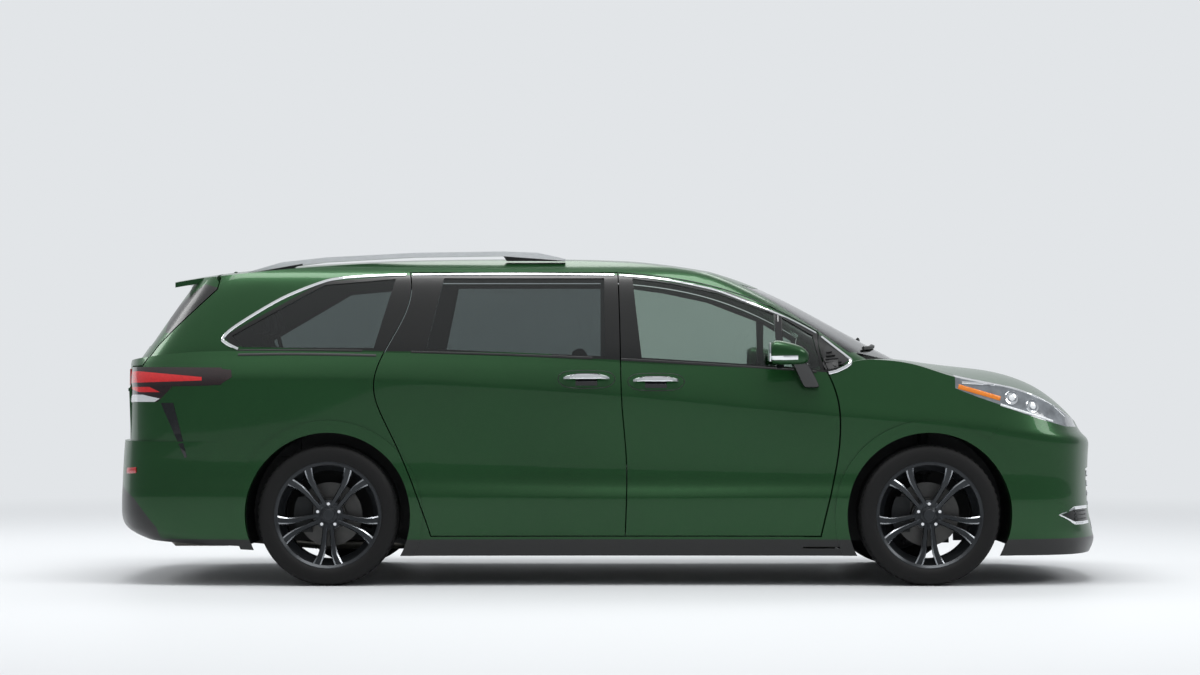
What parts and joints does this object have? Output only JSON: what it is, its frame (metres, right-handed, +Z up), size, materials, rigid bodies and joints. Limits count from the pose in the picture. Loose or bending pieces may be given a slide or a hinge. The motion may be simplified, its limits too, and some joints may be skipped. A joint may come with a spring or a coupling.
{
  "type": "minivan",
  "caption": "Long family van with hinged front doors, sliding rear doors, a top-hinged tailgate, roof rails and alloy wheels.",
  "frame": {"origin": "on the ground under the middle of the vehicle", "axes": "+X forward, +Y to the vehicle's left, +Z up"},
  "size_m": [5.1698, 2.259, 1.7166],
  "materials": {
    "body_paint": "gloss metallic",
    "structure": "satin",
    "black_plastic": "textured",
    "clear_lamp": "clear",
    "red_lamp": "clear",
    "tinted_glass": "polished",
    "clear_glass": "polished",
    "tyre_rubber": "matt",
    "alloy": "machined and painted",
    "silver_rail": "satin",
    "cast_metal": "rough",
    "steel_pipe": "dull",
    "seat_cloth": "woven",
    "trim_plastic": "grained"
  },
  "bodies": {
    "body": {"floor_pan": "structure", "body_side_right": "body_paint", "body_side_left": "body_paint", "roof_panel": "body_paint", "cowl_panel": "black_plastic", "fender_right": "body_paint", "fender_left": "body_paint", "front_bumper": "body_paint", "grille": "black_plastic", "head_lamps": "clear_lamp", "rear_bumper": "body_paint", "tail_lamps": "red_lamp", "windshield": "clear_glass", "rear_side_windows": "tinted_glass", "slide_door_right": "body_paint", "slide_door_left": "body_paint", "roof_rails": "silver_rail", "arch_liners": "black_plastic", "front_subframe": "cast_metal", "rear_axle": "cast_metal", "engine_block": "cast_metal", "seats": "seat_cloth", "rear_bench": "seat_cloth", "dashboard": "trim_plastic", "steering_wheel": "trim_plastic", "exhaust": "steel_pipe"},
    "front_door_right": {"front_door_right": "body_paint", "front_glass_right": "tinted_glass", "mirror_right": "body_paint"},
    "front_door_left": {"front_door_left": "body_paint", "front_glass_left": "tinted_glass", "mirror_left": "body_paint"},
    "hood": {"hood": "body_paint"},
    "tailgate": {"tailgate": "body_paint", "tailgate_glass": "tinted_glass"},
    "knuckle_right": {"knuckle_right": "cast_metal"},
    "knuckle_left": {"knuckle_left": "cast_metal"},
    "wheel_front_right": {"tyre_front_right": "tyre_rubber", "rim_front_right": "alloy"},
    "wheel_front_left": {"tyre_front_left": "tyre_rubber", "rim_front_left": "alloy"},
    "wheel_rear_right": {"tyre_rear_right": "tyre_rubber", "rim_rear_right": "alloy"},
    "wheel_rear_left": {"tyre_rear_left": "tyre_rubber", "rim_rear_left": "alloy"}
  },
  "joints": [
    {"name": "front_door_right_hinge", "type": "hinge", "parent": "body", "child": "front_door_right", "pos_m": [1.045, -0.948, 0.6], "axis": [0, 0, 1], "range_deg": [0, 65]},
    {"name": "front_door_left_hinge", "type": "hinge", "parent": "body", "child": "front_door_left", "pos_m": [1.045, 0.948, 0.6], "axis": [0, 0, -1], "range_deg": [0, 65]},
    {"name": "hood_hinge", "type": "hinge", "parent": "body", "child": "hood", "pos_m": [1.33, 0, 1.116], "axis": [0, -1, 0], "range_deg": [0, 50]},
    {"name": "tailgate_hinge", "type": "hinge", "parent": "body", "child": "tailgate", "pos_m": [-1.976, 0, 1.608], "axis": [0, 1, 0], "range_deg": [0, 78]},
    {"name": "steer_right", "type": "hinge", "parent": "body", "child": "knuckle_right", "pos_m": [1.6235, -0.78, 0.23], "axis": [0, 0.2276, 0.9737], "range_deg": [-35, 35]},
    {"name": "steer_left", "type": "hinge", "parent": "body", "child": "knuckle_left", "pos_m": [1.6235, 0.78, 0.23], "axis": [0, -0.2276, 0.9737], "range_deg": [-35, 35]},
    {"name": "wheel_front_right_spin", "type": "hinge", "parent": "knuckle_right", "child": "wheel_front_right", "pos_m": [1.6235, -0.869, 0.359], "axis": [0, 1, 0], "continuous": true},
    {"name": "wheel_front_left_spin", "type": "hinge", "parent": "knuckle_left", "child": "wheel_front_left", "pos_m": [1.6235, 0.869, 0.359], "axis": [0, 1, 0], "continuous": true},
    {"name": "wheel_rear_right_spin", "type": "hinge", "parent": "body", "child": "wheel_rear_right", "pos_m": [-1.4365, -0.869, 0.359], "axis": [0, 1, 0], "continuous": true},
    {"name": "wheel_rear_left_spin", "type": "hinge", "parent": "body", "child": "wheel_rear_left", "pos_m": [-1.4365, 0.869, 0.359], "axis": [0, 1, 0], "continuous": true}
  ],
  "couplings": [
    {"joint": "steer_left", "follows": "steer_right", "ratio": 1}
  ]
}
